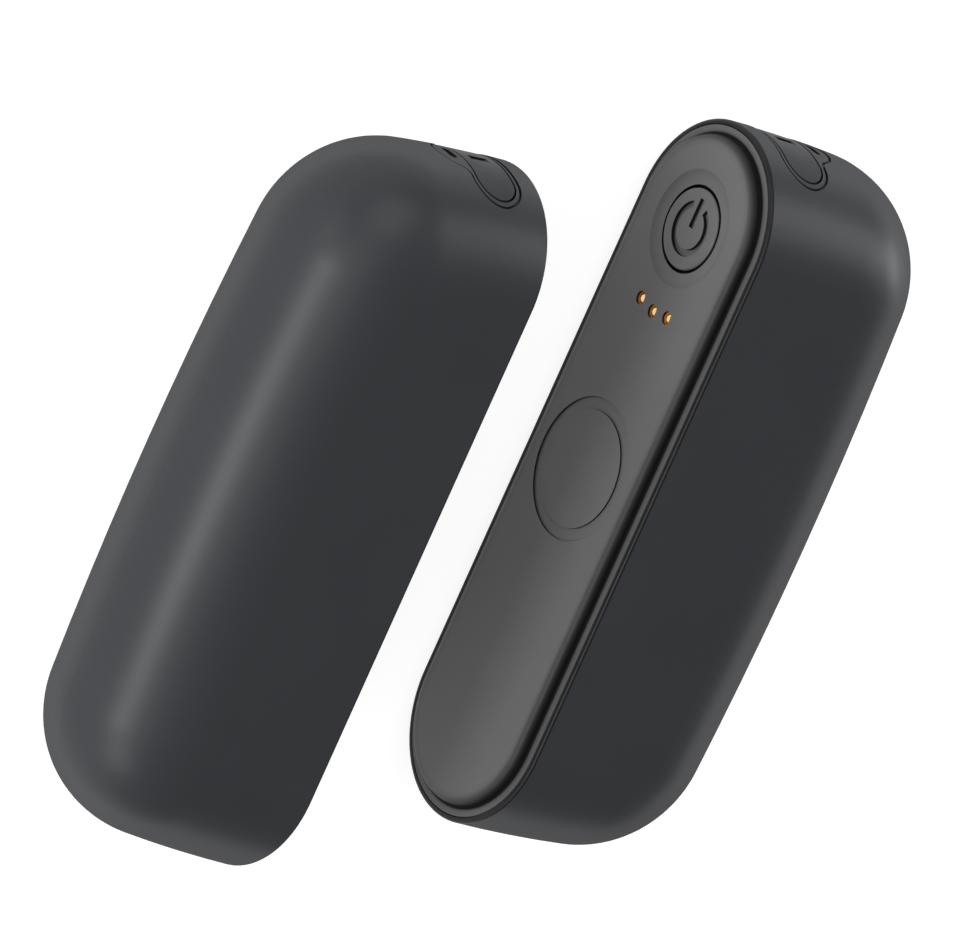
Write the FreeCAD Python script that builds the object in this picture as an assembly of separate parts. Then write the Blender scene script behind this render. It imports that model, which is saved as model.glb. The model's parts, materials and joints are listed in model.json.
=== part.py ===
import FreeCAD, Part
import os
from collections import namedtuple
from math import cos, pi, radians, sin, sqrt

from FreeCAD import Vector

# A split hand warmer: two pods that dock face to face by magnets. The base pod has a raised plateau and
# sunk contacts, the mate pod has the matching recess and sprung pins. Lengths are in millimetres. In a pod's
# own frame x runs to the port end, depth d from the mating plane into the pod and w across its thickness.

# Pod form
pod_length = 100.0
pod_thickness = 29.0
pod_depth = 33.9
end_bow_radius = 198.0
back_bow_radius = 545.0
corner_radius = 17.0
equator_land = 0.2
wall = 1.8

# How the two pods lie at rest, side by side
pod_gap = 31.0
pod_stagger = 13.1

# Mating plates
rim_width = 0.7
rim_round = 0.4
seam_gap = 0.15
plate_wall = 1.6
skirt_width = 1.6
plateau_inset = 2.15
plateau_height = 1.45
plateau_round = 1.2
foot_round = 0.3
recess_clearance = 0.4
recess_spare = 0.15
recess_round = 0.8

# Power button and its switch
button_inset = 15.0
button_radius = 5.5
button_gap = 0.45
button_sink = 0.1
button_round = 0.3
button_travel = 0.4
flange_width = 0.9
flange_thickness = 0.6
flange_play = 0.05
stem_radius = 1.6
dish_radius = 7.9
dish_depth = 0.35
switch_side = 5.2
switch_height = 2.2
switch_lift = 0.5
switch_play = 0.15

# Contacts between the pods: three on an arc round the button
contact_arc_radius = 12.0
contact_arc_step = 16.0
contact_radius = 0.85
contact_hole_gap = 0.05
contact_sink = 0.3
contact_dome = 0.55
shoulder_width = 0.5
shoulder_thickness = 0.6
contact_stem_radius = 0.5
stem_play = 0.05
solder_tail = 0.5
contact_block_margin = 2.2

# Sprung pins of the mate pod
pin_radius = 0.7
pin_reach = 0.5
pin_hole_gap = 0.12
pin_collar_width = 0.22
pin_collar_thickness = 0.45
barrel_wall = 0.25
barrel_play = 0.08
barrel_lip = 0.3
barrel_floor = 0.4
barrel_length = 3.6
spring_wire_radius = 0.12
spring_turns = 3.5
spring_play = 0.02

# Magnets and the ring groove over them
magnet_radius = 7.6
magnet_thickness = 2.0
magnet_back_thickness = 0.8
magnet_fit = 0.1
magnet_collar_wall = 1.2
ring_outer_radius = 9.67
ring_inner_radius = 7.92
ring_groove_depth = 0.25

# Port end: pear-shaped recess, plug, charging receptacle, lanyard slit and its pin
recess_half_width = 3.95
recess_half_length = 9.2
port_recess_sink = 0.08
port_groove_width = 0.35
port_groove_depth = 0.3
lobe_offset = 3.05
lobe_radius = 4.1
lobe_blend = 1.5
plug_half_width = 2.95
plug_half_length = 8.05
plug_gap = 0.28
plug_sink = 0.1
plug_cap = 1.2
plug_seat_play = 0.1
notch_radius = 2.0
notch_width = 1.2
notch_depth = 0.9
boss_thickness = 5.4
boss_depth = 15.8
usb_width = 8.94
usb_height = 3.26
usb_switch_gap = 0.3
usb_skin = 0.3
usb_tongue_width = 6.7
usb_tongue_thickness = 0.7
usb_tongue_setback = 0.9
usb_back_thickness = 1.2
port_play = 0.2
slit_offset = 4.75
slit_width = 1.1
slit_length = 3.0
slit_floor = 1.2
lanyard_pin_radius = 0.5
lanyard_pin_cover = 2.4
lanyard_pin_hold = 0.9
pin_bore_play = 0.03

# Circuit board and its screws
board_thickness = 1.2
board_play = 0.7
board_back_inset = 12.0
board_front_play = 0.2
screw_contact_gap = 9.0
screw_back_inset = 8.0
screw_side_inset = 4.2
screw_radius = 0.8
screw_head_radius = 1.5
screw_head_height = 1.0
screw_length = 5.0
screw_play = 0.05

# Cell, its tabs and the cradle
cell_end_gap = 17.5
cell_back_gap = 2.0
cell_crimp = 0.5
cell_nub_radius = 2.8
cell_nub_height = 0.8
cell_fit = 0.15
tab_thickness = 0.2
tab_width = 6.0
tab_foot = 3.0
tab_reach = 3.0
cradle_wall = 1.5
cradle_end_gap = 1.5
cradle_front_gap = 0.07
cradle_flange = 1.2
cradle_play = 0.25
cradle_post_radius = 2.0
cradle_window_length = 12.0
cradle_window_width = 10.0
cradle_window_back = 10.0

# Film heaters and the temperature sensors
film_thickness = 0.2
film_width = 7.8
film_end_gap = 18.0
film_back_gap = 1.1
film_tail_width = 8.0
film_tail_lap = 1.6
sensor_inset = 12.0
sensor_radius = 0.8
sensor_length = 3.0
sensor_lead_radius = 0.2
sensor_lead_spread = 1.6

# Cuts run past the faces that they open by this much
overrun = 2.0
touch = 0.001
parallel_share = 0.999

# Values worked out from those above
mid_height = pod_thickness / 2
pod_end = pod_length / 2
edge_radius = (pod_thickness - equator_land) / 2
plate_inset = rim_width + seam_gap
recess_depth = plateau_height + recess_spare
rebate_depth = recess_depth + plate_wall
wall_face = mid_height - wall
port_depth = rebate_depth + recess_half_width
boss_face = pod_end - boss_thickness
pocket_floor = plug_sink + plug_cap + plug_seat_play
button_place = pod_end - button_inset
usb_length = boss_face - port_play - button_place - switch_side / 2 - usb_switch_gap

Pod = namedtuple("Pod", "name face board")
base_pod = Pod("base", -plateau_height, port_depth - usb_height / 2 - board_thickness)
mate_pod = Pod("mate", recess_depth, port_depth + usb_height / 2)

# The cell is the largest that fits between the mate pod's board and its back, or between its broad walls
cradle_front = mate_pod.board + board_thickness + cradle_front_gap
cell_room = pod_depth - wall - cell_back_gap - cradle_front - cradle_wall - cell_fit
cell_side_room = wall_face - film_thickness - cradle_play - cradle_wall - cell_fit
cell_radius = min(cell_room / 2, cell_side_room)
cell_depth = pod_depth - wall - cell_back_gap - cell_radius
cell_end = pod_end - cell_end_gap
film_end = pod_end - film_end_gap
film_back = pod_depth - edge_radius - film_back_gap
film_front = film_back - film_width


# Basic shapes in a pod's own frame

def block(x_range, d_range, w_range):
    """Box between two values of x, of depth and of width."""
    low = Vector(x_range[0], -d_range[1], mid_height + w_range[0])
    size = [r[1] - r[0] for r in (x_range, d_range, w_range)]
    return Part.makeBox(*size, low)


def post(radius, x, w, d_range):
    """Cylinder that runs along the depth."""
    foot = Vector(x, -d_range[1], mid_height + w)
    return Part.makeCylinder(radius, d_range[1] - d_range[0], foot, Vector(0, 1, 0))


def rod(radius, x_range, d, w):
    """Cylinder that runs along x."""
    start = Vector(x_range[0], -d, mid_height + w)
    return Part.makeCylinder(radius, x_range[1] - x_range[0], start, Vector(1, 0, 0))


def stadium_rod(half_width, half_length, x_range, d):
    """Bar along x with a stadium section whose long way is across the thickness."""
    straight = half_length - half_width
    bar = block(x_range, (d - half_width, d + half_width), (-straight, straight))
    ends = [rod(half_width, x_range, d, side * straight) for side in (-1, 1)]
    return bar.fuse(ends).removeSplitter()


def fuse_all(shapes):
    """One solid from touching shapes."""
    return shapes[0].fuse(shapes[1:]).removeSplitter()


def revolve_round_depth(points, x, w):
    """Solid turned round an axis along the depth from (radius, depth) points."""
    corners = [Vector(x + radius, -d, mid_height + w) for radius, d in points]
    face = Part.Face(Part.makePolygon(corners + corners[:1]))
    return face.revolve(Vector(x, 0, mid_height + w), Vector(0, 1, 0), 360)


def edges_at_depth(shape, d):
    """Edges that lie in the plane at one depth."""
    boxes = [(edge, edge.BoundBox) for edge in shape.Edges]
    return [edge for edge, box in boxes if abs(box.YMin + d) < touch and abs(box.YMax + d) < touch]


def edges_along(shape, direction):
    """Straight edges that run along one direction."""
    found = []
    for edge in shape.Edges:
        straight = isinstance(edge.Curve, Part.Line)
        if straight and abs(edge.tangentAt(edge.FirstParameter).dot(direction)) > parallel_share:
            found.append(edge)
    return found


# Pod body

def corner_centre():
    """Centre of the corner arc that touches the end bow and the back bow from inside."""
    end_centre = Vector(pod_end - end_bow_radius, 0, 0)
    back_centre = Vector(0, back_bow_radius - pod_depth, 0)
    end_reach = end_bow_radius - corner_radius
    back_reach = back_bow_radius - corner_radius
    between = back_centre - end_centre
    distance = between.Length
    along = (end_reach ** 2 - back_reach ** 2 + distance ** 2) / (2 * distance)
    across = sqrt(end_reach ** 2 - along ** 2)
    unit = between / distance
    return end_centre + unit * along + Vector(unit.y, -unit.x, 0) * across


def point_beyond(centre, through, radius):
    """Point at a radius from a centre, on the line through another point."""
    return centre + (through - centre).normalize() * radius


def flipped(point):
    """The same point on the other side of the pod's middle."""
    return Vector(-point.x, point.y, point.z)


def pod_outline(inset, mouth):
    """Plan outline of a pod, moved in by inset and open at the depth -mouth."""
    end_centre = Vector(pod_end - end_bow_radius, 0, 0)
    back_centre = Vector(0, back_bow_radius - pod_depth, 0)
    corner = corner_centre()
    start = Vector(pod_end - inset, 0, 0)
    end_point = point_beyond(end_centre, corner, end_bow_radius - inset)
    back_point = point_beyond(back_centre, corner, back_bow_radius - inset)
    end_middle = point_beyond(end_centre, (start + end_point) / 2, end_bow_radius - inset)
    corner_middle = point_beyond(corner, (end_point + back_point) / 2, corner_radius - inset)
    back_middle = Vector(0, inset - pod_depth, 0)
    lip = Vector(start.x, mouth, 0)
    edges = [
        Part.Arc(start, end_middle, end_point),
        Part.Arc(end_point, corner_middle, back_point),
        Part.Arc(back_point, back_middle, flipped(back_point)),
        Part.Arc(flipped(back_point), flipped(corner_middle), flipped(end_point)),
        Part.Arc(flipped(end_point), flipped(end_middle), flipped(start)),
    ]
    if mouth > 0:
        edges.append(Part.LineSegment(flipped(start), flipped(lip)))
        edges.append(Part.LineSegment(flipped(lip), lip))
        edges.append(Part.LineSegment(lip, start))
    else:
        edges.append(Part.LineSegment(flipped(start), start))
    return Part.Wire([edge.toShape() for edge in edges])


def pod_body(inset=0.0, mouth=0.0):
    """Pod with full-round edges, moved in by inset all round."""
    outline = pod_outline(inset, mouth)
    outline.translate(Vector(0, 0, inset))
    prism = Part.Face(outline).extrude(Vector(0, 0, pod_thickness - 2 * inset))
    rims = []
    for edge in prism.Edges:
        box = edge.BoundBox
        level = box.ZLength < touch
        at_mouth = box.YLength < touch and abs(box.YMax - mouth) < touch
        if level and not at_mouth:
            rims.append(edge)
    return prism.makeFillet(edge_radius - inset, rims)


def face_slab(inset, d_range):
    """Slab with the mating face's stadium outline, moved in by inset."""
    half_x = pod_end - inset
    half_w = mid_height - inset
    slab = block((-half_x, half_x), d_range, (-half_w, half_w))
    return slab.makeFillet(edge_radius - inset, edges_along(slab, Vector(0, 1, 0)))


# Shell and port end

def pear_prism(inset=0.0):
    """Bar along x with the port recess's outline, moved in by inset: a stadium with a lobe behind it."""
    x_range = (boss_face, pod_end + overrun)
    half_width = recess_half_width - inset
    lobe_reach = lobe_radius - inset
    stadium = stadium_rod(half_width, recess_half_length - inset, x_range, port_depth)
    lobe = rod(lobe_reach, x_range, port_depth + lobe_offset, 0)
    pear = fuse_all([stadium, lobe])
    crossing = sqrt(lobe_reach ** 2 - (half_width - lobe_offset) ** 2)
    corners = []
    for edge in edges_along(pear, Vector(1, 0, 0)):
        middle = edge.CenterOfMass
        across = abs(middle.z - mid_height)
        if abs(middle.y + port_depth + half_width) < touch and abs(across - crossing) < touch:
            corners.append(edge)
    return pear.makeFillet(lobe_blend + inset, corners)


def port_cuts():
    """Everything cut out of the shell's port end."""
    outside = (boss_face, pod_end + overrun)
    recess = pear_prism().cut(pod_body(port_recess_sink))
    groove = pear_prism().cut([pear_prism(port_groove_width), pod_body(port_recess_sink + port_groove_depth)])
    pocket_bar = stadium_rod(plug_half_width + plug_gap, plug_half_length + plug_gap, outside, port_depth)
    pocket = pocket_bar.cut(pod_body(pocket_floor))
    mouth_range = (boss_face - overrun, pod_end + overrun)
    mouth = stadium_rod(usb_height / 2 + port_play, usb_width / 2 + port_play, mouth_range, port_depth)
    slit_depth = port_depth + slit_offset
    slit_range = (boss_face + slit_floor, pod_end + overrun)
    slit = stadium_rod(slit_width / 2, slit_length / 2, slit_range, slit_depth)
    bore_range = (lanyard_pin_front(), boss_depth + touch)
    bore = post(lanyard_pin_radius + pin_bore_play, lanyard_pin_x(), 0, bore_range)
    return [recess, groove, pocket, mouth, slit, bore]


def lanyard_pin_x():
    """Place of the lanyard pin, under the recess floor."""
    return pod_end - port_recess_sink - lanyard_pin_cover


def lanyard_pin_front():
    """Depth at which the lanyard pin starts, in front of the slit."""
    return port_depth + slit_offset - slit_width / 2 - lanyard_pin_hold


def pod_shell():
    """Moulded shell: hollow pod, rebate for the mating plate, boss and cuts of the port end."""
    outer = pod_body()
    outer = outer.makeFillet(rim_round, edges_at_depth(outer, 0))
    boss = block((boss_face, pod_end), (rebate_depth, boss_depth), (-mid_height, mid_height))
    hollow = pod_body(wall, overrun).cut(boss)
    rebate = face_slab(rim_width, (-overrun, rebate_depth))
    return outer.cut([hollow, rebate] + port_cuts())


def port_plug():
    """Soft plug over the charging port: curved cap, nose in the port's mouth and a nail notch."""
    outside = (boss_face, pod_end + overrun)
    bar = stadium_rod(plug_half_width, plug_half_length, outside, port_depth)
    cap = bar.common(pod_body(plug_sink)).cut(pod_body(plug_sink + plug_cap))
    nose_range = (boss_face + port_play, pod_end)
    nose = stadium_rod(usb_height / 2 - port_play, usb_width / 2 - port_play, nose_range, port_depth)
    nose = nose.common(pod_body(plug_sink + plug_cap / 2))
    top = pod_end - plug_sink
    axis_x = top + notch_radius - notch_depth
    start = Vector(axis_x, -port_depth, mid_height - notch_width / 2)
    notch = Part.makeCylinder(notch_radius, notch_width, start, Vector(0, 0, 1))
    return fuse_all([cap, nose]).cut(notch)


def usb_shell():
    """Drawn metal shell of the charging receptacle, closed at its back."""
    x_range = (boss_face - port_play - usb_length, boss_face - port_play)
    outer = stadium_rod(usb_height / 2, usb_width / 2, x_range, port_depth)
    inner_range = (x_range[0] + usb_back_thickness, x_range[1] + overrun)
    inner = stadium_rod(usb_height / 2 - usb_skin, usb_width / 2 - usb_skin, inner_range, port_depth)
    return outer.cut(inner)


def usb_tongue():
    """Contact tongue inside the receptacle."""
    back = boss_face - port_play - usb_length + usb_back_thickness
    front = boss_face - port_play - usb_tongue_setback
    half_width = usb_tongue_width / 2
    d_range = (port_depth - usb_tongue_thickness / 2, port_depth + usb_tongue_thickness / 2)
    return block((back, front), d_range, (-half_width, half_width))


def lanyard_pin():
    """Steel pin across the slit that a wrist cord loops round."""
    return post(lanyard_pin_radius, lanyard_pin_x(), 0, (lanyard_pin_front(), boss_depth))


# Mating plates

def contact_places():
    """Places (x, w) of the three contacts, on an arc round the button."""
    places = []
    for step in (-1, 0, 1):
        angle = radians(step * contact_arc_step)
        places.append((button_place - contact_arc_radius * cos(angle), contact_arc_radius * sin(angle)))
    return places


def plate_under(pod):
    """Depth of the underside of a mating plate's working wall."""
    return pod.face + plate_wall


def with_face_features(plate, pod, contact_hole_radius):
    """Adds the magnet collar, button hole and dish, ring groove and contact holes."""
    under = plate_under(pod)
    collar_radius = magnet_radius + magnet_fit
    collar_range = (under - plate_wall / 2, under + magnet_thickness)
    collar = post(collar_radius + magnet_collar_wall, 0, 0, collar_range)
    collar = collar.cut(post(collar_radius, 0, 0, (under, under + magnet_thickness + overrun)))
    through = (pod.face - overrun, under + overrun)
    hole_radius = button_radius + button_gap
    hole = post(hole_radius, button_place, 0, through)
    dish_round = ((dish_radius - hole_radius) ** 2 + dish_depth ** 2) / (2 * dish_depth)
    dish_centre = Vector(button_place, dish_round - dish_depth - pod.face, mid_height)
    dish = Part.makeTorus(hole_radius, dish_round, dish_centre, Vector(0, 1, 0))
    groove_range = (pod.face - overrun, pod.face + ring_groove_depth)
    groove = post(ring_outer_radius, 0, 0, groove_range).cut(post(ring_inner_radius, 0, 0, groove_range))
    holes = [post(contact_hole_radius, x, w, through) for x, w in contact_places()]
    return fuse_all([plate, collar]).cut([hole, dish, groove] + holes)


def base_face_plate():
    """Plate of the base pod: a ledge round a raised plateau, hollow underneath."""
    ledge = face_slab(plate_inset, (0, rebate_depth))
    plateau = face_slab(plateau_inset, (-plateau_height, plate_wall))
    plateau = plateau.makeFillet(plateau_round, edges_at_depth(plateau, -plateau_height))
    plate = fuse_all([ledge, plateau])
    plateau_half_w = mid_height - plateau_inset + touch
    foot = [e for e in edges_at_depth(plate, 0) if e.BoundBox.ZMax < mid_height + plateau_half_w]
    foot = [e for e in foot if e.BoundBox.ZMin > mid_height - plateau_half_w]
    foot = [e for e in foot if e.BoundBox.XMax < pod_end - plateau_inset + touch]
    foot = [e for e in foot if e.BoundBox.XMin > plateau_inset - pod_end - touch]
    plate = plate.makeFillet(foot_round, foot)
    under_ledge = face_slab(plate_inset + skirt_width, (plate_wall, rebate_depth + overrun))
    under_plateau = face_slab(plateau_inset + plate_wall, (plate_under(base_pod), rebate_depth + overrun))
    plate = plate.cut([under_ledge, under_plateau])
    return with_face_features(plate, base_pod, contact_radius + contact_hole_gap)


def mate_face_plate():
    """Plate of the mate pod, with the recess that takes the plateau."""
    plate = face_slab(plate_inset, (0, rebate_depth))
    recess = face_slab(plateau_inset - recess_clearance, (-overrun, recess_depth))
    recess = recess.makeFillet(recess_round, edges_at_depth(recess, recess_depth))
    return with_face_features(plate.cut(recess), mate_pod, pin_radius + pin_hole_gap)


# Button and switch

def plunger_top(pod):
    """Depth of the top of the switch plunger."""
    return pod.board - switch_height - switch_lift


def power_button(pod):
    """Button cap with a retaining flange under the plate and a stem on the switch."""
    flange_top = plate_under(pod) + flange_play
    cap = post(button_radius, button_place, 0, (pod.face + button_sink, flange_top + flange_thickness))
    cap = cap.makeFillet(button_round, edges_at_depth(cap, pod.face + button_sink))
    flange_range = (flange_top, flange_top + flange_thickness)
    flange = post(button_radius + flange_width, button_place, 0, flange_range)
    stem = post(stem_radius, button_place, 0, (flange_top, plunger_top(pod)))
    return fuse_all([cap, flange, stem])


def switch_body(pod):
    """Housing of the tact switch, open at the top for its plunger."""
    half = switch_side / 2
    top = pod.board - switch_height
    body = block((button_place - half, button_place + half), (top, pod.board), (-half, half))
    well_floor = top + switch_height / 2 + button_travel
    return body.cut(post(stem_radius + switch_play, button_place, 0, (top - overrun, well_floor)))


def switch_plunger(pod):
    """Plunger of the tact switch, pressed by the button's stem."""
    foot = pod.board - switch_height / 2
    return post(stem_radius, button_place, 0, (plunger_top(pod), foot))


# Board, cell, heaters and magnets

def board_under(pod):
    """Depth of the board's underside."""
    return pod.board + board_thickness


def screw_places():
    """Places (x, w) of the board screws, behind the contacts and at the board's far end."""
    spread = wall_face - screw_side_inset
    front = contact_places()[1][0] - screw_contact_gap
    back = pod_end - board_back_inset - screw_back_inset
    return [(x, side * spread) for x in (front, -back) for side in (-1, 1)]


def circuit_board(pod):
    """Board cut to the pod's inner form, with screw and contact holes."""
    x_range = (board_back_inset - pod_end, boss_face - board_front_play)
    slab = block(x_range, (pod.board, board_under(pod)), (-mid_height, mid_height))
    board = slab.common(pod_body(wall + board_play))
    through = (pod.board - overrun, board_under(pod) + overrun)
    holes = [post(screw_radius + screw_play, x, w, through) for x, w in screw_places()]
    holes += [post(contact_stem_radius + stem_play, x, w, through) for x, w in contact_places()]
    return board.cut(holes)


def board_screws(pod):
    """Screws that hold the board on the cradle posts."""
    screws = []
    for x, w in screw_places():
        head = post(screw_head_radius, x, w, (pod.board - screw_head_height, pod.board))
        shank = post(screw_radius, x, w, (pod.board - screw_head_height / 2, pod.board + screw_length))
        screws.append(fuse_all([head, shank]))
    return Part.makeCompound(screws)


def cell():
    """Cylindrical cell with a crimped shoulder and a raised positive end."""
    can = rod(cell_radius, (-cell_end, cell_end - cell_nub_height), cell_depth, 0)
    ends = [edge for edge in can.Edges if edge.BoundBox.XLength < touch]
    can = can.makeFillet(cell_crimp, ends)
    nub = rod(cell_nub_radius, (cell_end - 2 * cell_nub_height, cell_end), cell_depth, 0)
    return fuse_all([can, nub])


def cell_tabs(pod):
    """Nickel strips from the two ends of the cell to the board."""
    tabs = []
    half = tab_width / 2
    foot_range = (board_under(pod), board_under(pod) + tab_thickness)
    strip_range = (board_under(pod), cell_depth + tab_reach)
    for start, outward in ((cell_end, 1), (-cell_end, -1)):
        strip_x = sorted((start, start + outward * tab_thickness))
        foot_x = sorted((start, start + outward * tab_foot))
        strip = block(strip_x, strip_range, (-half, half))
        foot = block(foot_x, foot_range, (-half, half))
        tabs.append(fuse_all([strip, foot]))
    return Part.makeCompound(tabs)


def cradle(pod):
    """Moulded carrier: half tube over the cell, side flanges to the shell and posts for the board."""
    x_range = (cradle_end_gap - cell_end, cell_end - cradle_end_gap)
    outer_radius = cell_radius + cell_fit + cradle_wall
    tube = rod(outer_radius, x_range, cell_depth, 0)
    front = block(x_range, (cell_depth - outer_radius, cell_depth), (-outer_radius, outer_radius))
    flange = block(x_range, (cell_depth - cradle_flange, cell_depth), (-mid_height, mid_height))
    flange = flange.common(pod_body(wall + cradle_play))
    posts = [post(cradle_post_radius, x, w, (board_under(pod), cell_depth)) for x, w in screw_places()]
    body = fuse_all([tube.common(front), flange] + posts)
    bore = rod(cell_radius + cell_fit, (-pod_end, pod_end), cell_depth, 0)
    pilot_range = (pod.board, pod.board + screw_length + screw_play)
    pilots = [post(screw_radius + screw_play, x, w, pilot_range) for x, w in screw_places()]
    half_window = cradle_window_length / 2
    window_w = (-cradle_window_width / 2, cradle_window_width / 2)
    window_d = (cell_depth - outer_radius - overrun, cell_depth)
    windows = []
    for middle in (contact_places()[1][0], -cradle_window_back):
        windows.append(block((middle - half_window, middle + half_window), window_d, window_w))
    return body.cut([bore] + pilots + windows)


def heater_film(pod, side):
    """Film heater on one broad wall, with a tail bent over the board's edge."""
    half_tail = film_tail_width / 2
    on_wall = sorted((side * wall_face, side * (wall_face - film_thickness)))
    sheet = block((-film_end, film_end), (film_front, film_back), on_wall)
    tail_top = pod.board - film_thickness
    tail = block((-half_tail, half_tail), sorted((tail_top, film_front)), on_wall)
    lap_w = sorted((side * wall_face, side * (wall_face - board_play - film_tail_lap)))
    lap = block((-half_tail, half_tail), (tail_top, pod.board), lap_w)
    return fuse_all([sheet, tail, lap]).common(pod_body(wall))


def thermistor(pod):
    """Sensor bead on the upper film, halfway from the board to the film's back, with two leads."""
    w = wall_face - film_thickness - sensor_radius
    d = (board_under(pod) + film_back) / 2
    sensor_place = film_end - sensor_inset
    x_range = (sensor_place - sensor_length / 2, sensor_place + sensor_length / 2)
    pieces = [rod(sensor_radius, x_range, d, w)]
    for side in (-1, 1):
        x = sensor_place + side * sensor_lead_spread / 2
        pieces.append(post(sensor_lead_radius, x, w, (board_under(pod), d)))
    return fuse_all(pieces)


def magnet(pod):
    """Disc magnet in the plate's collar."""
    return post(magnet_radius, 0, 0, (plate_under(pod), plate_under(pod) + magnet_thickness))


def magnet_back(pod):
    """Steel disc that closes the magnet's collar."""
    top = plate_under(pod) + magnet_thickness
    return post(magnet_radius + magnet_fit + magnet_collar_wall, 0, 0, (top, top + magnet_back_thickness))


# Contacts

def contact_pads():
    """Sunk contacts of the base pod: domed heads, shoulders and stems through the board."""
    pads = []
    top = base_pod.face + contact_sink
    shoulder = plate_under(base_pod) + stem_play
    tail = board_under(base_pod) + solder_tail
    for x, w in contact_places():
        head = post(contact_radius, x, w, (top, shoulder + shoulder_thickness))
        head = head.makeFillet(contact_dome, edges_at_depth(head, top))
        flange = post(contact_radius + shoulder_width, x, w, (shoulder, shoulder + shoulder_thickness))
        stem = post(contact_stem_radius, x, w, (shoulder, tail))
        pads.append(fuse_all([head, flange, stem]))
    return Part.makeCompound(pads)


def contact_carrier(top, bottom, bore_radius):
    """Insulating block round the three contacts."""
    places = contact_places()
    x_range = (places[1][0] - contact_block_margin, places[0][0] + contact_block_margin)
    w_range = (places[0][1] - contact_block_margin, places[2][1] + contact_block_margin)
    carrier = block(x_range, (top, bottom), w_range)
    return carrier.cut([post(bore_radius, x, w, (top - overrun, bottom + overrun)) for x, w in places])


def contact_block():
    """Carrier of the sunk contacts, between their shoulders and the board."""
    top = plate_under(base_pod) + stem_play + shoulder_thickness
    return contact_carrier(top, base_pod.board, contact_stem_radius + stem_play)


def barrel_top():
    """Depth of the open end of the pin barrels."""
    return plate_under(mate_pod) + stem_play


def barrel_inner():
    """Inner radius of the pin barrels, clear of the pins' collars."""
    return pin_radius + pin_collar_width + barrel_play


def pogo_block():
    """Carrier of the pin barrels, between the mate plate and its board."""
    carrier = contact_carrier(barrel_top(), mate_pod.board, contact_stem_radius + stem_play)
    bore_radius = barrel_inner() + barrel_wall + stem_play
    bore_range = (barrel_top() - overrun, barrel_top() + barrel_length)
    return carrier.cut([post(bore_radius, x, w, bore_range) for x, w in contact_places()])


def pogo_barrels():
    """Turned barrels with a lip that keeps the pins in, and tails through the board."""
    top = barrel_top()
    outer = barrel_inner() + barrel_wall
    lip_radius = pin_radius + pin_hole_gap
    tail = board_under(mate_pod) + solder_tail
    profile = [
        (lip_radius, top),
        (outer, top),
        (outer, top + barrel_length),
        (contact_stem_radius, top + barrel_length),
        (contact_stem_radius, tail),
        (0, tail),
        (0, top + barrel_length - barrel_floor),
        (barrel_inner(), top + barrel_length - barrel_floor),
        (barrel_inner(), top + barrel_lip),
        (lip_radius, top + barrel_lip),
    ]
    return Part.makeCompound([revolve_round_depth(profile, x, w) for x, w in contact_places()])


def pin_collar_top():
    """Depth of the collar that stops a pin under its barrel's lip."""
    return barrel_top() + barrel_lip + barrel_play


def pogo_plunger(place):
    """Sprung pin with a rounded tip and a stop collar."""
    x, w = place
    tip = mate_pod.face - pin_reach
    collar = pin_collar_top()
    pin = post(pin_radius, x, w, (tip, collar + pin_collar_thickness))
    pin = pin.makeFillet(pin_radius / 2, edges_at_depth(pin, tip))
    stop = post(pin_radius + pin_collar_width, x, w, (collar, collar + pin_collar_thickness))
    return fuse_all([pin, stop])


def arc_between(start, corner, end):
    """Arc from start to end whose two end tangents meet at a corner."""
    weight = (end - start).Length / (corner - start).Length / 2
    middle = (start + corner * (2 * weight) + end) / (2 + 2 * weight)
    return Part.Arc(start, middle, end).toShape()


def coil_path(radius, pitch, turns):
    """Coil made of two tangent arcs to each half turn, climbing along z."""
    edges = []
    steps = round(2 * turns)
    for step in range(steps):
        ends = []
        for turn in (turns * step / steps, turns * (step + 1) / steps):
            angle = 2 * pi * turn
            place = Vector(radius * cos(angle), radius * sin(angle), pitch * turn)
            heading = Vector(-2 * pi * radius * sin(angle), 2 * pi * radius * cos(angle), pitch)
            ends.append((place, heading.normalize()))
        (start, leaving), (end, arriving) = ends
        chord = end - start
        pull = chord.dot(leaving + arriving)
        bend = 2 - 2 * leaving.dot(arriving)
        reach = (sqrt(pull ** 2 + bend * chord.dot(chord)) - pull) / bend
        first_corner = start + leaving * reach
        second_corner = end - arriving * reach
        joint = (first_corner + second_corner) / 2
        edges.append(arc_between(start, first_corner, joint))
        edges.append(arc_between(joint, second_corner, end))
    return Part.Wire(edges)


def pogo_spring(place):
    """Coil spring between a pin's collar and its barrel's floor."""
    x, w = place
    top = pin_collar_top() + pin_collar_thickness + spring_play + spring_wire_radius
    bottom = barrel_top() + barrel_length - barrel_floor - spring_play - spring_wire_radius
    radius = barrel_inner() - barrel_play - spring_wire_radius
    pitch = (bottom - top) / spring_turns
    path = coil_path(radius, pitch, spring_turns)
    section = Part.Wire(Part.makeCircle(spring_wire_radius, Vector(radius, 0, 0), Vector(0, 1, 0)))
    coil = path.makePipeShell([section], True)
    coil.rotate(Vector(0, 0, 0), Vector(1, 0, 0), -90)
    coil.translate(Vector(x, -bottom, mid_height + w))
    return coil


# Assembly

def shared_pieces(pod):
    """Pieces that both pods have, by name."""
    return {
        "shell": pod_shell(),
        "button": power_button(pod),
        "switch_body": switch_body(pod),
        "switch_plunger": switch_plunger(pod),
        "board": circuit_board(pod),
        "board_screws": board_screws(pod),
        "usb_shell": usb_shell(),
        "usb_tongue": usb_tongue(),
        "port_plug": port_plug(),
        "lanyard_pin": lanyard_pin(),
        "cell": cell(),
        "cell_tabs": cell_tabs(pod),
        "cradle": cradle(pod),
        "heater_top": heater_film(pod, 1),
        "heater_bottom": heater_film(pod, -1),
        "thermistor": thermistor(pod),
        "magnet": magnet(pod),
        "magnet_back": magnet_back(pod),
    }


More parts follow.
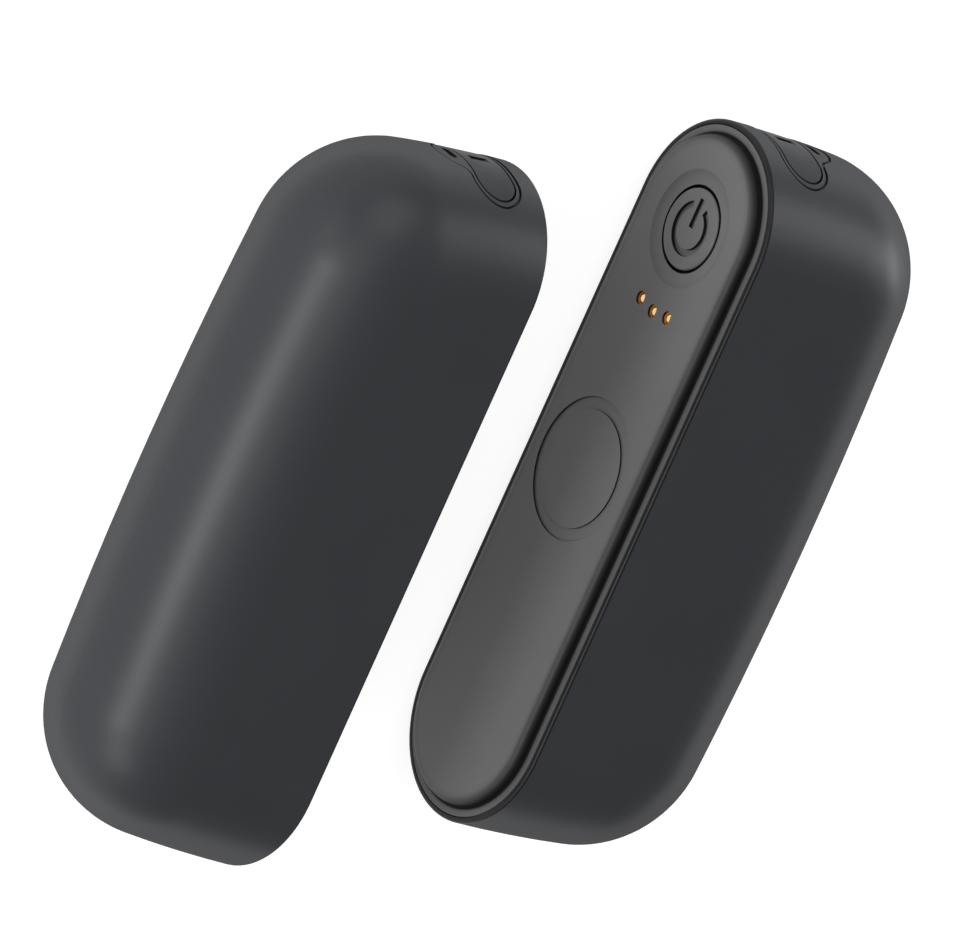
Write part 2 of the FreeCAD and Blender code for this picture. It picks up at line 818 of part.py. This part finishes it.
def base_pieces():
    """All pieces of the base pod."""
    pieces = shared_pieces(base_pod)
    pieces["face_plate"] = base_face_plate()
    pieces["contact_pads"] = contact_pads()
    pieces["contact_block"] = contact_block()
    return pieces


def mate_pieces():
    """All pieces of the mate pod."""
    pieces = shared_pieces(mate_pod)
    pieces["face_plate"] = mate_face_plate()
    pieces["pogo_block"] = pogo_block()
    pieces["pogo_barrels"] = pogo_barrels()
    for number, place in enumerate(contact_places(), start=1):
        pieces[f"pogo_plunger_{number}"] = pogo_plunger(place)
        pieces[f"pogo_spring_{number}"] = pogo_spring(place)
    return pieces


def put_down(pod, shape):
    """Moves a piece to where its pod lies. The mate pod is turned over to face the base."""
    placed = shape.copy()
    side = -1
    if pod is mate_pod:
        placed.rotate(Vector(0, 0, mid_height), Vector(1, 0, 0), 180)
        side = 1
    placed.translate(Vector(-side * pod_stagger / 2, side * pod_gap / 2, 0))
    return placed


def main():
    os.makedirs("parts", exist_ok=True)
    for pod, pieces in ((base_pod, base_pieces()), (mate_pod, mate_pieces())):
        for name, shape in pieces.items():
            node = f"{pod.name}_{name}"
            placed = put_down(pod, shape)
            placed.exportStep(f"parts/{node}.step")
            print(node, len(placed.Solids), placed.isValid(), round(placed.Volume, 1))


main()
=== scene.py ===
import json
from math import cos, pi, radians, sin

import bmesh
import bpy
from mathutils import Matrix, Vector

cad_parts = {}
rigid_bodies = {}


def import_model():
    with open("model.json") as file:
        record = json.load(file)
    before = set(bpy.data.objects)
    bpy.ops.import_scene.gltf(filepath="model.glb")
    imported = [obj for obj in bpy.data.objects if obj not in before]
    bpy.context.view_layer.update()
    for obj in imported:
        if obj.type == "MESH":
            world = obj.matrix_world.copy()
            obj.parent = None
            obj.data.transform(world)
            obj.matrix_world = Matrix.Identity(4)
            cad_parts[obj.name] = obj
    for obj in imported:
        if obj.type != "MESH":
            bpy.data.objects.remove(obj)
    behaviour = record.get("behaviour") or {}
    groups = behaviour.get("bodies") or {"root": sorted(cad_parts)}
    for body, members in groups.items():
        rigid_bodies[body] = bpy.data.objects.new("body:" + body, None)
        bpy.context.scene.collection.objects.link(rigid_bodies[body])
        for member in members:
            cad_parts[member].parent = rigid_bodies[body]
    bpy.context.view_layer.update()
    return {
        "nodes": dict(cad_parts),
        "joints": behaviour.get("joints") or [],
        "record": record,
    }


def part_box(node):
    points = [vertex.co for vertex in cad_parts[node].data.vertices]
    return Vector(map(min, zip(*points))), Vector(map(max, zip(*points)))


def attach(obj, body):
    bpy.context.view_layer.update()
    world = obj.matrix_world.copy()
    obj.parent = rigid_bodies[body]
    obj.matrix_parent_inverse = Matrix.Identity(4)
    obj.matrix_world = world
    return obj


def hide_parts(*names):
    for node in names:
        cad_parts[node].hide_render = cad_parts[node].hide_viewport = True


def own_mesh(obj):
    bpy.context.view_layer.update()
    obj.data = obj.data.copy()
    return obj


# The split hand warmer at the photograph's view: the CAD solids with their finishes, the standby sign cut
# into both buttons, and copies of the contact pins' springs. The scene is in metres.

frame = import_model()
nodes = frame["nodes"]
scene = bpy.context.scene
MM = 0.001

# Places on the pods
core_half = 35.6 * MM
mid_height = 14.5 * MM
middle_x = {"base": 6.55 * MM, "mate": -6.55 * MM}
button_x = {"base": 41.55 * MM, "mate": 28.45 * MM}
pad_low, pad_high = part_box("base_contact_pads")
pad_top = pad_high.y


# Materials

# Noise lies mostly between these two values, which a tint or a range is spread over
noise_low, noise_high = 0.3, 0.7

flow_scale, gloss_scale = 70, 260
grain_depth = 0.02 * MM
mark_depth = 0.01 * MM
dull_share, polish, dulling = 0.9, 0.05, 0.06
track_depth = 0.03 * MM


def new_material(name):
    material = bpy.data.materials.new(name)
    material.use_nodes = True
    tree = material.node_tree
    shader = tree.nodes["Principled BSDF"]
    return material, tree, shader


def node(tree, kind, **inputs):
    made = tree.nodes.new(kind)
    for key, value in inputs.items():
        made.inputs[key.replace("_", " ")].default_value = value
    return made


def step(tree, kind, operation, first, second):
    """Math or vector math node on a first socket and a second socket or number."""
    made = tree.nodes.new(kind)
    made.operation = operation
    tree.links.new(first, made.inputs[0])
    if isinstance(second, float):
        made.inputs[1].default_value = second
    else:
        tree.links.new(second, made.inputs[1])
    return made.outputs[0]


def object_axes(tree):
    """The sockets X, Y and Z of a point's place in the CAD frame."""
    place = tree.nodes.new("ShaderNodeTexCoord")
    split = tree.nodes.new("ShaderNodeSeparateXYZ")
    tree.links.new(place.outputs["Object"], split.inputs[0])
    return split.outputs


def object_noise(tree, scale, detail, stretch=(1, 1, 1)):
    place = tree.nodes.new("ShaderNodeTexCoord")
    mapping = tree.nodes.new("ShaderNodeMapping")
    mapping.inputs["Scale"].default_value = stretch
    noise = node(tree, "ShaderNodeTexNoise", Scale=scale, Detail=detail)
    tree.links.new(place.outputs["Object"], mapping.inputs["Vector"])
    tree.links.new(mapping.outputs["Vector"], noise.inputs["Vector"])
    return noise.outputs["Fac"]


def ranged(tree, source, **limits):
    made = node(tree, "ShaderNodeMapRange", **limits)
    tree.links.new(source, made.inputs["Value"])
    return made.outputs["Result"]


def spread(tree, source, low, high):
    return ranged(tree, source, From_Min=noise_low, From_Max=noise_high, To_Min=low, To_Max=high)


def tint(tree, source, low, high):
    ramp = tree.nodes.new("ShaderNodeValToRGB")
    ramp.color_ramp.elements[0].position = noise_low
    ramp.color_ramp.elements[1].position = noise_high
    ramp.color_ramp.elements[0].color = (*low, 1)
    ramp.color_ramp.elements[1].color = (*high, 1)
    tree.links.new(source, ramp.inputs["Fac"])
    return ramp.outputs["Color"]


def grain_bump(tree, shader, source, strength, depth):
    bump = node(tree, "ShaderNodeBump", Strength=strength, Distance=depth)
    tree.links.new(source, bump.inputs["Height"])
    tree.links.new(bump.outputs["Normal"], shader.inputs["Normal"])


def multiply_colour(tree, shader, factor):
    """Multiplies what reaches a shader's base colour by a second colour."""
    so_far = shader.inputs["Base Color"].links[0].from_socket
    product = step(tree, "ShaderNodeVectorMath", "MULTIPLY", so_far, factor)
    tree.links.new(product, shader.inputs["Base Color"])


def moulded(name, color, rough, specular=0.4, grain=5200, strength=0.12, mottle=0.06, uneven=0.03):
    """Moulded plastic: spark-eroded grain, faint flow mottling and slightly uneven gloss."""
    material, tree, shader = new_material(name)
    low = [c * (1 - mottle) for c in color]
    high = [c * (1 + mottle) for c in color]
    tree.links.new(tint(tree, object_noise(tree, flow_scale, 3), low, high), shader.inputs["Base Color"])
    gloss = spread(tree, object_noise(tree, gloss_scale, 4), rough - uneven, rough + uneven)
    tree.links.new(gloss, shader.inputs["Roughness"])
    grain_bump(tree, shader, object_noise(tree, grain, 2), strength, grain_depth)
    shader.inputs["Specular IOR Level"].default_value = specular
    return material


def soften_edges(material, start, end, rough):
    """Soft-touch coat: the gloss fades out where the surface turns away from the eye."""
    tree = material.node_tree
    shader = tree.nodes["Principled BSDF"]
    turned = node(tree, "ShaderNodeLayerWeight", Blend=0.5).outputs["Facing"]
    faded = ranged(tree, turned, From_Min=start, From_Max=end, To_Min=rough, To_Max=1.0)
    so_far = shader.inputs["Roughness"].links[0].from_socket
    tree.links.new(step(tree, "ShaderNodeMath", "MAXIMUM", so_far, faded), shader.inputs["Roughness"])


def reach_from(tree, line_x, line_z, half_length):
    """Distance in the plane of a face from a line along X with a given middle and half length."""
    axes = object_axes(tree)
    past_middle = step(tree, "ShaderNodeMath", "SUBTRACT", axes["X"], line_x)
    along = step(tree, "ShaderNodeMath", "ABSOLUTE", past_middle, 0.0)
    past_end = step(tree, "ShaderNodeMath", "SUBTRACT", along, half_length)
    beyond = step(tree, "ShaderNodeMath", "MAXIMUM", past_end, 0.0)
    across = step(tree, "ShaderNodeMath", "SUBTRACT", axes["Z"], line_z)
    joined = tree.nodes.new("ShaderNodeCombineXYZ")
    tree.links.new(beyond, joined.inputs["X"])
    tree.links.new(across, joined.inputs["Z"])
    length = tree.nodes.new("ShaderNodeVectorMath")
    length.operation = "LENGTH"
    tree.links.new(joined.outputs[0], length.inputs[0])
    return length.outputs["Value"]


def paint_shade_by(material, reach, stops):
    """Paints shade into a moulded material: dims its colour and gloss by (reach in mm, factor) stops."""
    tree = material.node_tree
    shader = tree.nodes["Principled BSDF"]
    first, last = stops[0][0], stops[-1][0]
    ramp = tree.nodes.new("ShaderNodeValToRGB")
    for _ in stops[2:]:
        ramp.color_ramp.elements.new(1.0)
    for element, (place, factor) in zip(ramp.color_ramp.elements, stops):
        element.position = (place - first) / (last - first)
        element.color = (factor, factor, factor, 1)
    tree.links.new(ranged(tree, reach, From_Min=first * MM, From_Max=last * MM), ramp.inputs["Fac"])
    multiply_colour(tree, shader, ramp.outputs["Color"])
    specular = shader.inputs["Specular IOR Level"].default_value
    gloss = step(tree, "ShaderNodeMath", "MULTIPLY", ramp.outputs["Color"], specular)
    tree.links.new(gloss, shader.inputs["Specular IOR Level"])


def metal(name, color, rough, stretch=(1, 1, 1), scale=1800, strength=0.15):
    """Bare or plated metal with drawn or turned marks along one way."""
    material, tree, shader = new_material(name)
    marks = object_noise(tree, scale, 3, stretch)
    low = [c * dull_share for c in color]
    tree.links.new(tint(tree, marks, low, color), shader.inputs["Base Color"])
    tree.links.new(spread(tree, marks, rough - polish, rough + dulling), shader.inputs["Roughness"])
    grain_bump(tree, shader, marks, strength, mark_depth)
    shader.inputs["Metallic"].default_value = 1.0
    return material


def paint_light_by_height(material, low, high, low_color, high_color):
    """Paints light into a material: multiplies its colour by a tint that goes from one place in Y to
    another.
    """
    tree = material.node_tree
    height = ranged(tree, object_axes(tree)["Y"], From_Min=low, From_Max=high,
                    To_Min=noise_low, To_Max=noise_high)
    multiply_colour(tree, tree.nodes["Principled BSDF"], tint(tree, height, low_color, high_color))


def laminate(name):
    """Green board with a woven glass ground."""
    material, tree, shader = new_material(name)
    weave = object_noise(tree, 900, 2, (1, 1, 6))
    tree.links.new(tint(tree, weave, (0.006, 0.06, 0.024), (0.012, 0.1, 0.04)), shader.inputs["Base Color"])
    tree.links.new(spread(tree, weave, 0.3, 0.42), shader.inputs["Roughness"])
    grain_bump(tree, shader, weave, 0.1, grain_depth)
    return material


def film(name):
    """Amber film with the etched track of the heater showing through."""
    material, tree, shader = new_material(name)
    place = tree.nodes.new("ShaderNodeTexCoord")
    track = node(tree, "ShaderNodeTexWave", Scale=95, Distortion=0.0)
    track.wave_type = "BANDS"
    track.bands_direction = "X"
    tree.links.new(place.outputs["Object"], track.inputs["Vector"])
    amber = tint(tree, track.outputs["Fac"], (0.2, 0.055, 0.008), (0.5, 0.2, 0.03))
    tree.links.new(amber, shader.inputs["Base Color"])
    tree.links.new(spread(tree, object_noise(tree, 700, 2), 0.16, 0.26), shader.inputs["Roughness"])
    grain_bump(tree, shader, track.outputs["Fac"], 0.3, track_depth)
    return material


# Painted shade on a mating plate in its dish and, on the base, along the plateau's rolled edge and its foot:
# each stop is a reach in mm and a factor
dish_painted_shade_stops = [(5.9, 1.0), (6.6, 0.96), (7.3, 0.86), (7.85, 0.72), (8.1, 1.0)]
plateau_painted_shade_stops = [(10.5, 1.0), (11.15, 0.85), (11.7, 0.4), (12.1, 0.18), (12.38, 0.05), (12.58, 0.06),
                 (12.72, 0.5), (13.0, 0.8), (13.65, 0.85)]


def make_plate_painted_shade(side):
    """Grey of a mating plate, dimmed by painted shade round its button and, on the base, along the plateau's
    edge.
    """
    material = moulded(side + "_plate_plastic", (0.095, 0.095, 0.095), 0.42, specular=0.36, grain=6000,
                       strength=0.08, mottle=0.03)
    tree = material.node_tree
    paint_shade_by(material, reach_from(tree, button_x[side], mid_height, 0.0), dish_painted_shade_stops)
    if side == "base":
        paint_shade_by(material, reach_from(tree, middle_x[side], mid_height, core_half), plateau_painted_shade_stops)
    return material


shell_rough = 0.4
fade_start, fade_end = 0.5, 1.15
shell_plastic = moulded("shell_plastic", (0.027, 0.0285, 0.032), shell_rough, specular=0.24, mottle=0.03,
                        uneven=0.008)
soften_edges(shell_plastic, fade_start, fade_end, shell_rough)
# Near-black painted shade for the shell's rim where it meets the plate
rim_plastic = moulded("rim_plastic", (0.007, 0.0072, 0.008), 0.4, specular=0.2, strength=0.06)
button_plastic = moulded("button_plastic", (0.097, 0.097, 0.097), 0.44, specular=0.36, grain=6400,
                         strength=0.08, mottle=0.03)
# Near-black painted shade for the walls of grooves and gaps and of the sign
painted_groove_shade = moulded("engraved_groove", (0.006, 0.006, 0.006), 0.6, specular=0.2, grain=6000, strength=0.05)
plug_rubber = moulded("plug_rubber", (0.022, 0.0232, 0.026), 0.55, specular=0.25, grain=4200, strength=0.2,
                      mottle=0.1)
plate_painted_shade = {"base": make_plate_painted_shade("base"), "mate": make_plate_painted_shade("mate")}

# Gold of the sunk contacts with a painted highlight, paler at the tops of their domes and deeper towards
# their feet, and the walls of their holes with painted light: a painted reflection of the gold low down and
# painted shade near the top
turned_marks = (1, 0.2, 1)
gold_scale = 2600
rubbed_gold = metal("rubbed_gold", (1.0, 1.0, 1.0), 0.22, turned_marks, gold_scale)
paint_light_by_height(rubbed_gold, pad_top - 0.32 * MM, pad_top, (0.92, 0.34, 0.05), (1.0, 0.7, 0.3))
contact_shaft = moulded("contact_shaft", (1.0, 1.0, 1.0), 0.5, specular=0.2, strength=0.05)
paint_light_by_height(contact_shaft, pad_top - 0.36 * MM, pad_top + 0.02 * MM, (1.0, 0.42, 0.05),
               (0.008, 0.007, 0.006))

materials = {
    "shell_plastic": shell_plastic,
    "plate_plastic": plate_painted_shade["base"],
    "button_plastic": button_plastic,
    "plug_rubber": plug_rubber,
    "contact_gold": metal("contact_gold", (0.98, 0.62, 0.18), 0.25, turned_marks, gold_scale),
    "dark_plastic": moulded("dark_plastic", (0.015, 0.015, 0.016), 0.5, mottle=0.15),
    "board_laminate": laminate("board_laminate"),
    "cradle_plastic": moulded("cradle_plastic", (0.42, 0.41, 0.38), 0.5, mottle=0.05),
    "cell_wrap": moulded("cell_wrap", (0.03, 0.11, 0.24), 0.3, specular=0.5, grain=900, strength=0.05),
    "film_polyimide": film("film_polyimide"),
    "screw_steel": metal("screw_steel", (0.5, 0.5, 0.51), 0.3, (1, 0.1, 1)),
    "port_steel": metal("port_steel", (0.6, 0.6, 0.62), 0.26, (0.1, 1, 1)),
    "spring_steel": metal("spring_steel", (0.5, 0.5, 0.5), 0.3),
    "tab_nickel": metal("tab_nickel", (0.62, 0.6, 0.55), 0.28, (1, 0.1, 1)),
    "magnet_nickel": metal("magnet_nickel", (0.64, 0.63, 0.6), 0.15, scale=500, strength=0.04),
}
slot_of = {part["node"]: part["material_slot"] for part in frame["record"]["subparts"]}


def dress(piece, *used):
    piece.data.materials.clear()
    for material in used:
        piece.data.materials.append(material)


for name, piece in nodes.items():
    dress(piece, materials[slot_of[name]])
# Painted highlight: the pads' gold is paler at the tops of their domes
dress(nodes["base_contact_pads"], rubbed_gold)


# Painted shade in clefts, grooves and along the shell's rim, and painted light on the walls of the contacts'
# holes: faces that take the second or third material of their piece

shaft_reach = 11.0 * MM
rim_level = 15.95 * MM
port_sides = 9.5 * MM
port_start = 46.0 * MM
steep = 0.3
upright = 0.05

for pod in ("base", "mate"):
    side = 1 if pod == "base" else -1
    plate = nodes[pod + "_face_plate"]
    dress(plate, plate_painted_shade[pod], painted_groove_shade, contact_shaft)
    for polygon in plate.data.polygons:
        along = max(abs(polygon.center.x - middle_x[pod]) - core_half, 0)
        reach = Vector((along, polygon.center.z - mid_height)).length
        # Walls of grooves and holes take painted shade, and beside the pads painted light of the gold
        if reach < shaft_reach and abs(polygon.normal.y) < steep:
            beside_pads = pod == "base" and pad_low.x < polygon.center.x < pad_high.x
            polygon.material_index = 2 if beside_pads else 1
    shell = nodes[pod + "_shell"]
    dress(shell, shell_plastic, painted_groove_shade, rim_plastic)
    for polygon in shell.data.polygons:
        along = polygon.center.x - middle_x[pod]
        across = polygon.center.z - mid_height
        # Painted shade on the walls of the groove round the port
        if along > port_start and abs(across) < port_sides and abs(polygon.normal.x) < upright:
            polygon.material_index = 1
        # Painted shade along the shell's rim next to the plate
        elif -side * polygon.center.y < rim_level:
            polygon.material_index = 2
    plug = nodes[pod + "_port_plug"]
    dress(plug, plug_rubber, painted_groove_shade)
    for polygon in plug.data.polygons:
        # Painted shade on the plug's side walls, in the gap round it
        if abs(polygon.normal.x) < upright:
            polygon.material_index = 1


# Standby sign cut into each button

sign_inner = 2.77 * MM
sign_outer = 3.74 * MM
sign_open = radians(25)
sign_bar = (0.15 * MM, 4.27 * MM)
sign_width = 0.95 * MM
sign_depth = 0.53 * MM
sign_lift = 0.5 * MM
sign_reach = 4.4 * MM
sign_turns = 96
wall_slope = 0.5
button_edge = 5.3 * MM
edge_sunk = 0.35 * MM


def prism(outline, low, high):
    """Closed mesh over an outline of (x, z) points, from one y to another."""
    mesh = bpy.data.meshes.new("cutter")
    form = bmesh.new()
    front = [form.verts.new((x, high, z)) for x, z in outline]
    back = [form.verts.new((x, low, z)) for x, z in outline]
    form.faces.new(front)
    form.faces.new(back[::-1])
    count = len(outline)
    for i in range(count):
        j = (i + 1) % count
        form.faces.new([front[i], back[i], back[j], front[j]])
    bmesh.ops.recalc_face_normals(form, faces=form.faces)
    form.to_mesh(mesh)
    form.free()
    cutter = bpy.data.objects.new("cutter", mesh)
    scene.collection.objects.link(cutter)
    return cutter


def cut_with(piece, cutter):
    change = piece.modifiers.new("cut", "BOOLEAN")
    change.operation = "DIFFERENCE"
    change.solver = "EXACT"
    change.object = cutter
    bpy.context.view_layer.update()
    evaluated = piece.evaluated_get(bpy.context.evaluated_depsgraph_get())
    mesh = bpy.data.meshes.new_from_object(evaluated)
    piece.modifiers.clear()
    piece.data = mesh
    bpy.data.objects.remove(cutter)


def copy_of(node_name, ending):
    """Free copy of a CAD node, which stays as it is."""
    piece = bpy.data.objects.new(node_name + ending, nodes[node_name].data.copy())
    scene.collection.objects.link(piece)
    return piece


def signed_button(node_name, body, face):
    """Copy of a button with the sign cut into its face, which looks along face times +Y."""
    low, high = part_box(node_name)
    centre_x = (low.x + high.x) / 2
    centre_z = (low.z + high.z) / 2
    top = high.y if face > 0 else low.y
    piece = copy_of(node_name, "_signed")
    angles = [sign_open + (2 * pi - 2 * sign_open) * k / sign_turns for k in range(sign_turns + 1)]
    ring = [(sign_outer * cos(a), sign_outer * sin(a)) for a in angles]
    ring += [(sign_inner * cos(a), sign_inner * sin(a)) for a in reversed(angles)]
    half = sign_width / 2
    bar = [(sign_bar[0], -half), (sign_bar[1], -half), (sign_bar[1], half), (sign_bar[0], half)]
    for outline in (ring, bar):
        placed = [(centre_x + x, centre_z + z) for x, z in outline]
        cut_with(piece, prism(placed, top - face * sign_depth, top + face * sign_lift))
    # Painted shade: the gap round the button and the walls of the sign take the near-black material
    dress(piece, button_plastic, painted_groove_shade)
    for polygon in piece.data.polygons:
        middle = polygon.center
        away = Vector((middle.x - centre_x, middle.z - centre_z)).length
        sunk = (top - middle.y) * face
        cleft = away > button_edge and sunk > edge_sunk
        sign_wall = abs(polygon.normal.y) < wall_slope and away < sign_reach and sunk < sign_depth
        polygon.material_index = 1 if cleft or sign_wall else 0
    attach(piece, body)
    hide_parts(node_name)


signed_button("base_button", "base_button", 1)
signed_button("mate_button", "mate_button", -1)


# Springs of the contact pins, copied in place of the CAD springs

def shortening_spring(joint):
    """Copy of a pin's spring on the joint's parent body, in place of the CAD spring."""
    form = joint["deforming_nodes"][0]
    node_name = form["node"]
    piece = copy_of(node_name, "_wound")
    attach(piece, joint["parent"])
    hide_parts(node_name)
    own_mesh(piece)


for joint in frame["joints"]:
    if joint.get("deforming_nodes"):
        shortening_spring(joint)


# Camera at the photograph's view: it looks at the base pod's face from far off, with lengths in millimetres

turn, lift, roll = radians(51.292), radians(12.068), radians(24.271)
picture_width = 972
sensor_width = 36.0
pixels_per_mm = 7.6874
camera_distance = 5000.0
aside, above = 13.449, 0.26385
aim = Vector((6.55, -15.5, 14.5))
facing = Matrix(((-sin(turn), cos(turn), 0), (0, 0, 1), (cos(turn), sin(turn), 0)))
tilt = Matrix(((1, 0, 0), (0, cos(lift), -sin(lift)), (0, sin(lift), cos(lift))))
rolled = Matrix(((cos(roll), sin(roll), 0), (-sin(roll), cos(roll), 0), (0, 0, 1)))
right, up, back = [Vector((row[2], row[0], row[1])) for row in rolled @ tilt @ facing]
camera_data = bpy.data.cameras.new("camera")
camera = bpy.data.objects.new("camera", camera_data)
scene.collection.objects.link(camera)
camera_data.sensor_width = sensor_width
camera_data.lens = pixels_per_mm * camera_distance / picture_width * sensor_width
place = aim - right * aside - up * above + back * camera_distance
camera.matrix_world = Matrix.Translation(place * MM) @ Matrix((right, up, back)).transposed().to_4x4()
scene.camera = camera


# Floor, world and lamps

floor_half = 12.0
floor_drop = 0.0001
world_light = 0.3


def shown_as(tree, plain, seen):
    """Mixes two shaders: plain for bounced light, seen where the background shows."""
    path = tree.nodes.new("ShaderNodeLightPath").outputs
    either = step(tree, "ShaderNodeMath", "MAXIMUM", path["Is Camera Ray"], path["Is Glossy Ray"])
    any_ray = step(tree, "ShaderNodeMath", "MAXIMUM", either, path["Is Transmission Ray"])
    mix = tree.nodes.new("ShaderNodeMixShader")
    tree.links.new(any_ray, mix.inputs[0])
    tree.links.new(plain, mix.inputs[1])
    tree.links.new(seen, mix.inputs[2])
    return mix.outputs[0]


def floor_paper():
    """White paper: it glows as a background but still shows the object's shadow."""
    paper = bpy.data.materials.new("floor_paper")
    paper.use_nodes = True
    tree = paper.node_tree
    tree.nodes.clear()
    output = tree.nodes.new("ShaderNodeOutputMaterial")
    matte = node(tree, "ShaderNodeBsdfDiffuse", Color=(0.8, 0.8, 0.8, 1))
    faint = node(tree, "ShaderNodeBsdfDiffuse", Color=(0.4, 0.4, 0.4, 1))
    glow = node(tree, "ShaderNodeEmission", Color=(1, 1, 1, 1), Strength=0.82)
    both = tree.nodes.new("ShaderNodeAddShader")
    tree.links.new(faint.outputs[0], both.inputs[0])
    tree.links.new(glow.outputs[0], both.inputs[1])
    tree.links.new(shown_as(tree, matte.outputs[0], both.outputs[0]), output.inputs["Surface"])
    return paper


floor_mesh = bpy.data.meshes.new("floor")
corners = [(x * floor_half, y * floor_half, 0) for x, y in ((-1, -1), (1, -1), (1, 1), (-1, 1))]
floor_mesh.from_pydata(corners, [], [(0, 1, 2, 3)])
floor = bpy.data.objects.new("floor", floor_mesh)
floor.location.z = -floor_drop
scene.collection.objects.link(floor)
floor_mesh.materials.append(floor_paper())

scene.world = bpy.data.worlds.new("world")
scene.world.use_nodes = True
sky = scene.world.node_tree.nodes["Background"]
sky.inputs["Color"].default_value = (1, 1, 1, 1)
sky.inputs["Strength"].default_value = world_light

lamp_aim = Vector((0, 0, 0.015))
lamp_distance = 0.8
lamps = [  # name, direction from the pods, width along X, height, power
    ("left_key", (-0.2, 0.905, 0.37), 0.3, 0.2, 3.0),
    ("right_key", (0.55, -0.7, 0.46), 0.45, 0.3, 2.0),
    ("corner_key", (0.3, -0.94, 0.13), 0.28, 0.17, 1.15),
    ("front_fill", (0.1, 0.72, 0.69), 0.6, 0.6, 1.5),
    ("port_fill", (0.8, 0.3, 0.52), 0.5, 0.5, 1.9),
    ("end_fill", (-0.68, 0.65, 0.34), 0.4, 0.3, 1.8),
    ("shoulder_fill", (0.35, 0.92, 0.14), 0.35, 0.16, 0.7),
    ("rim", (-0.3, -0.95, 0.12), 0.4, 0.15, 0.25),
]


def softbox(name, direction, width, height, power):
    """Area lamp that looks at the pods, with its width as near to X as it can be."""
    data = bpy.data.lights.new(name, "AREA")
    data.shape = "RECTANGLE"
    data.size = width
    data.size_y = height
    data.energy = power
    lamp = bpy.data.objects.new(name, data)
    scene.collection.objects.link(lamp)
    back = Vector(direction).normalized()
    side = Vector((1, 0, 0))
    side = (side - back * side.dot(back)).normalized()
    turned_to = Matrix((side, back.cross(side), back)).transposed().to_4x4()
    lamp.matrix_world = Matrix.Translation(lamp_aim + back * lamp_distance) @ turned_to


for lamp in lamps:
    softbox(*lamp)

scene.view_settings.view_transform = "Standard"
